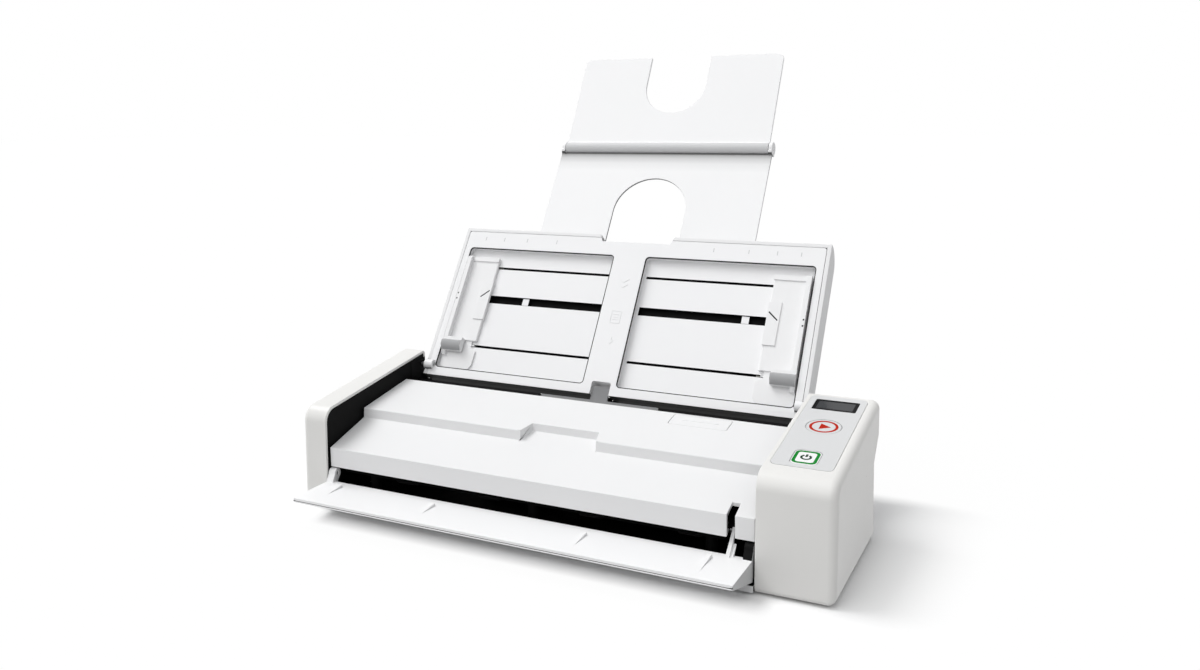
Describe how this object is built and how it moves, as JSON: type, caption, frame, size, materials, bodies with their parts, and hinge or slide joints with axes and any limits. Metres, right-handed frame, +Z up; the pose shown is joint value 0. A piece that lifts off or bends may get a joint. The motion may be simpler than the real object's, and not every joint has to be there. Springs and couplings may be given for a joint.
{
  "type": "document scanner",
  "caption": "Compact white sheet-fed document scanner, opened: folding input tray with paper guides and extension, hinged cover, output flap and control panel.",
  "frame": {"origin": "on the table, midway between the end faces and midway between the output flap's front edge and the open extension's end", "axes": "+X to the right seen from the front, +Y to the back, +Z up"},
  "size_m": [0.3, 0.266, 0.2604],
  "materials": {
    "white": "fine matt moulding",
    "black": "matt",
    "grey": "matt",
    "key_grey": "satin",
    "key_green": "gloss",
    "rubber": "matt",
    "steel": "plain",
    "nylon": "satin",
    "board": "solder mask",
    "clear": "clear",
    "display": "gloss"
  },
  "bodies": {
    "base": {"left_end_cover": "white", "right_end_housing": "white", "left_inner_wall": "black", "right_inner_wall": "black", "base_pan": "white", "rear_cover": "white", "rubber_feet": "rubber", "case_screws": "steel", "main_board": "board", "usb_socket": "steel", "power_socket": "black", "lower_paper_guide": "black", "feed_pad": "grey", "lower_image_sensor": "black", "lower_sensor_glass": "clear", "shaft_bushings": "nylon", "idler_axle": "steel", "gear_bracket": "steel", "drive_motor": "steel", "panel_overlay": "grey", "display_glass": "display", "display_module": "black", "panel_board": "board", "key_switches": "black"},
    "feed_roller": {"feed_roller_shaft": "steel", "feed_rollers": "rubber", "feed_gear": "nylon"},
    "exit_roller": {"exit_roller_shaft": "steel", "exit_rollers": "rubber", "exit_gear": "nylon"},
    "idler": {"idler_gear": "nylon"},
    "motor_rotor": {"motor_pinion": "nylon"},
    "start_button": {"start_key": "key_grey"},
    "power_button": {"power_key": "key_green"},
    "cover": {"paper_cover": "white", "cover_hinge_pins": "steel", "upper_paper_guide": "black", "upper_image_sensor": "black", "upper_sensor_glass": "clear"},
    "release": {"release_button": "white"},
    "feed_pinch": {"feed_pinch_roller": "nylon"},
    "exit_pinch": {"exit_pinch_roller": "nylon"},
    "tray": {"tray_face_plate": "white", "tray_back_shell": "white", "tray_hinge_pins": "steel", "rack_bed": "black"},
    "left_guide": {"left_paper_guide": "white", "left_guide_rack": "nylon", "left_guide_clip": "grey"},
    "right_guide": {"right_paper_guide": "white", "right_guide_rack": "nylon", "right_guide_clip": "grey"},
    "pinion": {"guide_pinion": "nylon"},
    "extension": {"tray_extension": "white", "extension_hinge_pin": "steel"},
    "leaf": {"extension_leaf": "white"},
    "flap": {"output_flap": "white", "flap_hinge_pins": "steel"}
  },
  "joints": [
    {"name": "tray_hinge", "type": "hinge", "parent": "base", "child": "tray", "pos_m": [0, -0.00386, 0.06386], "axis": [1, 0, 0], "range_deg": [0, 132.09]},
    {"name": "cover_hinge", "type": "hinge", "parent": "base", "child": "cover", "pos_m": [0, -0.02651, 0.0512], "axis": [1, 0, 0], "range_deg": [-60, 0]},
    {"name": "flap_hinge", "type": "hinge", "parent": "base", "child": "flap", "pos_m": [0, -0.09901, 0.0205], "axis": [-1, 0, 0], "range_deg": [0, 90]},
    {"name": "left_guide_slide", "type": "slide", "parent": "tray", "child": "left_guide", "axis": [1, 0, 0], "range_m": [0, 0.078]},
    {"name": "right_guide_slide", "type": "slide", "parent": "tray", "child": "right_guide", "axis": [1, 0, 0], "range_m": [-0.078, 0]},
    {"name": "pinion_spin", "type": "hinge", "parent": "tray", "child": "pinion", "pos_m": [-0.009, 0.02932, 0.10174], "axis": [0, -0.831, 0.5563], "range_deg": [-750, 0]},
    {"name": "extension_slide", "type": "slide", "parent": "tray", "child": "extension", "axis": [0, -0.5563, -0.831], "range_m": [0, 0.076]},
    {"name": "extension_fold", "type": "hinge", "parent": "extension", "child": "leaf", "pos_m": [-0.008, 0.09932, 0.19928], "axis": [-1, 0, 0], "range_deg": [0, 184.4]},
    {"name": "start_press", "type": "slide", "parent": "base", "child": "start_button", "axis": [0, 0.1441, -0.9896], "range_m": [0, 0.0005], "stiffness_N_per_m": 1200},
    {"name": "power_press", "type": "slide", "parent": "base", "child": "power_button", "axis": [0, 0.1441, -0.9896], "range_m": [0, 0.0005], "stiffness_N_per_m": 1200},
    {"name": "release_press", "type": "slide", "parent": "cover", "child": "release", "axis": [0, 0.1683, -0.9857], "range_m": [0, 0.0015], "stiffness_N_per_m": 800},
    {"name": "feed_spin", "type": "hinge", "parent": "base", "child": "feed_roller", "pos_m": [0, -0.03441, 0.03178], "axis": [1, 0, 0], "continuous": true},
    {"name": "idler_spin", "type": "hinge", "parent": "base", "child": "idler", "pos_m": [0, -0.05671, 0.02614], "axis": [1, 0, 0], "continuous": true},
    {"name": "exit_spin", "type": "hinge", "parent": "base", "child": "exit_roller", "pos_m": [0, -0.07901, 0.02049], "axis": [1, 0, 0], "continuous": true},
    {"name": "motor_spin", "type": "hinge", "parent": "base", "child": "motor_rotor", "pos_m": [0, -0.02596, 0.01589], "axis": [1, 0, 0], "continuous": true},
    {"name": "feed_pinch_spin", "type": "hinge", "parent": "cover", "child": "feed_pinch", "pos_m": [0, -0.03823, 0.04452], "axis": [1, 0, 0], "continuous": true},
    {"name": "exit_pinch_spin", "type": "hinge", "parent": "cover", "child": "exit_pinch", "pos_m": [0, -0.08225, 0.03132], "axis": [1, 0, 0], "continuous": true}
  ],
  "couplings": [
    {"joint": "right_guide_slide", "follows": "left_guide_slide", "ratio": -1},
    {"joint": "pinion_spin", "follows": "left_guide_slide", "rad_per_m": -166.67},
    {"joint": "idler_spin", "follows": "feed_spin", "ratio": -1.0909},
    {"joint": "exit_spin", "follows": "feed_spin", "ratio": 1},
    {"joint": "motor_spin", "follows": "feed_spin", "ratio": -2},
    {"joint": "feed_pinch_spin", "follows": "feed_spin", "ratio": -2.25},
    {"joint": "exit_pinch_spin", "follows": "feed_spin", "ratio": -1.75}
  ]
}
